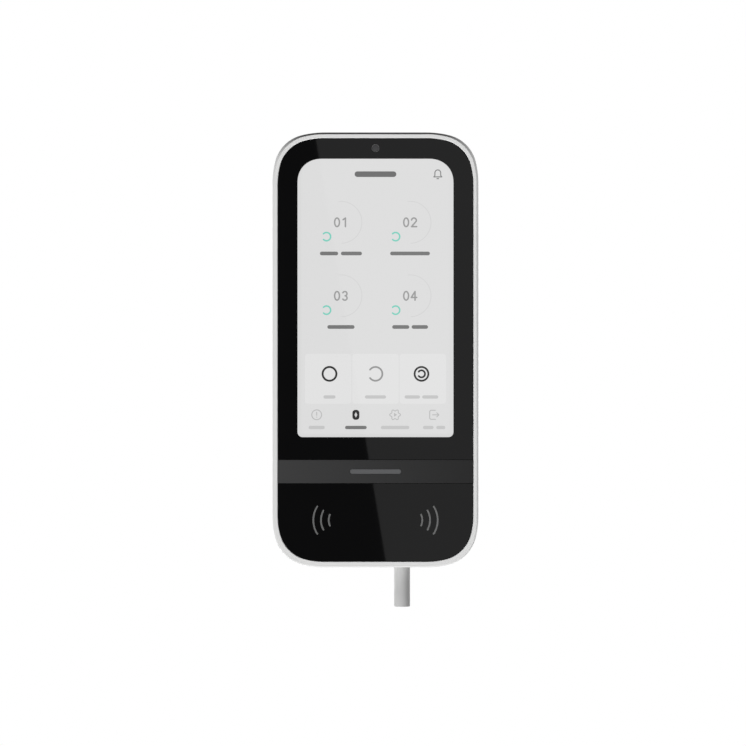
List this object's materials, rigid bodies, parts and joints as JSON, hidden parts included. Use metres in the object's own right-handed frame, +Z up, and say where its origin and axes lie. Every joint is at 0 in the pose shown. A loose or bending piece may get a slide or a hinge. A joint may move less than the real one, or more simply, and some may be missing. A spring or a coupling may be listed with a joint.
{
  "type": "alarm keypad panel",
  "caption": "Wall-mounted alarm keypad: upright round-cornered housing with a touch display, a contactless reader window, a back plate and a supply cable from the bottom edge.",
  "frame": {"origin": "on the wall plane, at the middle of the body's width and height (the back plate's centre pad)", "axes": "+X to the right as seen from the front, +Y into the wall, so the display faces -Y, +Z up"},
  "size_m": [0.0826, 0.0221, 0.1895],
  "materials": {
    "shell_plastic": "satin white moulded plastic",
    "black_glass": "black printed glass, glossy",
    "strip_plastic": "dark grey, finely textured, matt",
    "lens_plastic": "smoked clear plastic",
    "light_pipe": "frosted clear plastic",
    "foam": "black foam",
    "clear_sheet": "clear laminated sheet",
    "display_cell": "lit display cell",
    "sheet_steel": "thin bright sheet",
    "flex": "amber flexible circuit",
    "chassis_plastic": "dark glass-filled plastic",
    "circuit_board": "green solder mask",
    "led": "clear with pale phosphor",
    "copper": "bare copper track",
    "ferrite": "dark grey sheet",
    "chip": "black moulding compound",
    "connector": "ivory nylon",
    "brass": "bright brass",
    "terminal_plastic": "green moulded plastic",
    "zinc_steel": "zinc plated",
    "plunger_plastic": "ivory acetal",
    "button_plastic": "grey moulded plastic",
    "cable_sheath": "light grey sheath",
    "tie_plastic": "natural nylon",
    "wire_red": "red insulation",
    "wire_black": "black insulation",
    "wire_green": "green insulation",
    "wire_yellow": "yellow insulation"
  },
  "bodies": {
    "bracket": {"mounting_bracket": "shell_plastic"},
    "housing": {"rear_cover": "shell_plastic", "front_frame": "shell_plastic", "cover_glass": "black_glass", "accent_strip": "strip_plastic", "reader_window": "black_glass", "sensor_lens": "lens_plastic", "status_light_pipe": "light_pipe", "glass_adhesive": "foam", "touch_sensor": "clear_sheet", "lcd_panel": "display_cell", "backlight_unit": "sheet_steel", "display_flex": "flex", "touch_flex": "flex", "chassis": "chassis_plastic", "indicator_board": "circuit_board", "indicator_leds": "led", "reader_board": "circuit_board", "reader_coil": "copper", "ferrite_sheet": "ferrite", "reader_flex": "flex", "light_sensor_board": "circuit_board", "light_sensor": "chip", "main_board": "circuit_board", "processor_shield": "sheet_steel", "board_chips": "chip", "flex_connectors": "connector", "radio_antenna": "brass", "terminal_block": "terminal_plastic", "terminal_screws": "zinc_steel", "terminal_clamps": "zinc_steel", "buzzer": "chip", "buzzer_gasket": "foam", "tamper_switch": "chip", "tamper_spring": "zinc_steel", "power_switch": "chip", "case_screws": "zinc_steel", "case_inserts": "brass", "board_screws": "zinc_steel", "cable_jacket": "cable_sheath", "cable_tie": "tie_plastic", "wire_red": "wire_red", "wire_black": "wire_black", "wire_green": "wire_green", "wire_yellow": "wire_yellow"},
    "plunger": {"tamper_plunger": "plunger_plastic"},
    "button": {"power_button": "button_plastic"},
    "lock_screw": {"locking_screw": "zinc_steel"}
  },
  "joints": [
    {"name": "body_slide", "type": "slide", "parent": "bracket", "child": "housing", "axis": [0, 0, 1], "range_m": [0, 0.008]},
    {"name": "tamper_plunger_slide", "type": "slide", "parent": "housing", "child": "plunger", "axis": [0, 1, 0], "range_m": [0, 0.0016], "deforming": ["tamper_spring"]},
    {"name": "power_button_press", "type": "slide", "parent": "housing", "child": "button", "axis": [0, -1, 0], "range_m": [0, 0.0006]},
    {"name": "locking_screw_travel", "type": "slide", "parent": "bracket", "child": "lock_screw", "axis": [0, 0, -1], "range_m": [0, 0.007]}
  ],
  "couplings": [
    {"joint": "tamper_plunger_slide", "follows": "body_slide", "ratio": 0.2}
  ]
}
